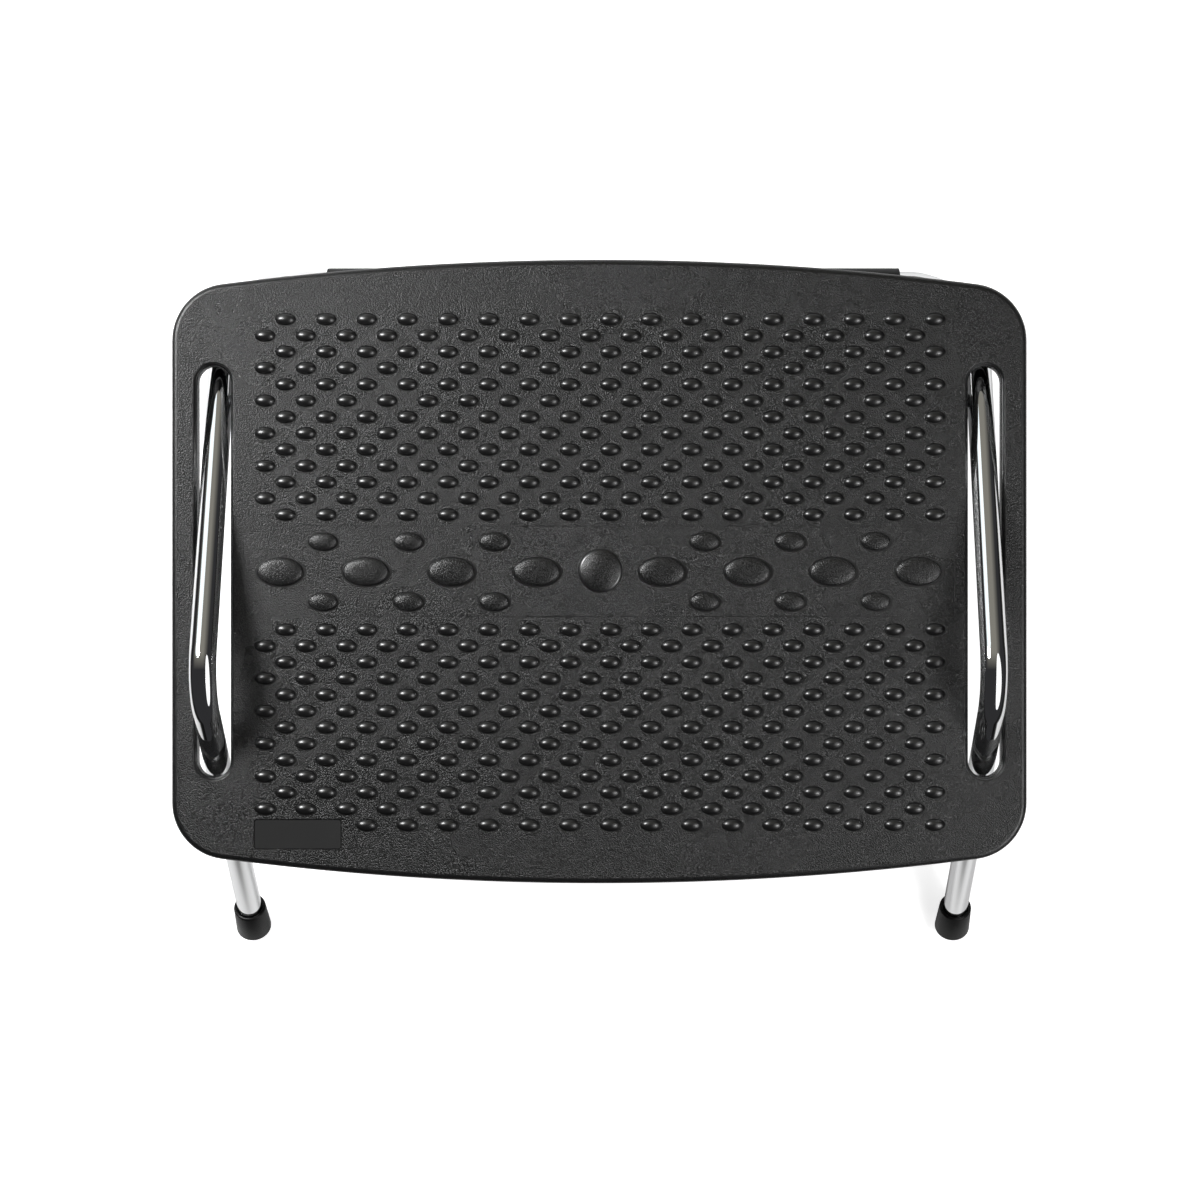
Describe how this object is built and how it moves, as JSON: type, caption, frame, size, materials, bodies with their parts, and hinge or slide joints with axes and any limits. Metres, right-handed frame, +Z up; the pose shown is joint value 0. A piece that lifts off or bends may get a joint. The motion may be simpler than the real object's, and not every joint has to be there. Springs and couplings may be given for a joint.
{
  "type": "tilting under desk footrest",
  "caption": "Under desk footrest: a ribbed plastic board with massage bumps tilts on a cross axle between the loops of a bent chrome tube stand with rubber foot caps.",
  "frame": {"origin": "on the floor under the middle of the whole object", "axes": "+X to the right of the board, along its long side; +Y to the low heel side, where the floor bar lies; +Z up"},
  "size_m": [0.4502, 0.3992, 0.1449],
  "materials": {
    "chrome_tube": "bright polished plating",
    "sleeve_plastic": "smooth black, soft sheen",
    "cap_rubber": "smooth black rubber",
    "axle_steel": "plain drawn rod",
    "board_plastic": "black moulding with a fine grain and glossier bumps",
    "bearing_plastic": "plain black moulding",
    "screw_steel": "bright zinc"
  },
  "bodies": {
    "stand": {"frame_tube": "chrome_tube", "floor_bar_sleeve": "sleeve_plastic", "foot_cap_left": "cap_rubber", "foot_cap_right": "cap_rubber", "cross_axle": "axle_steel"},
    "board": {"footboard": "board_plastic", "bearing_cap_left": "bearing_plastic", "bearing_cap_right": "bearing_plastic", "bearing_screw_left_toe": "screw_steel", "bearing_screw_left_heel": "screw_steel", "bearing_screw_right_toe": "screw_steel", "bearing_screw_right_heel": "screw_steel"}
  },
  "joints": [
    {"name": "board_tilt", "type": "hinge", "parent": "stand", "child": "board", "pos_m": [0, 0.12462, 0.05], "axis": [-1, 0, 0], "range_deg": [0, 13]}
  ]
}
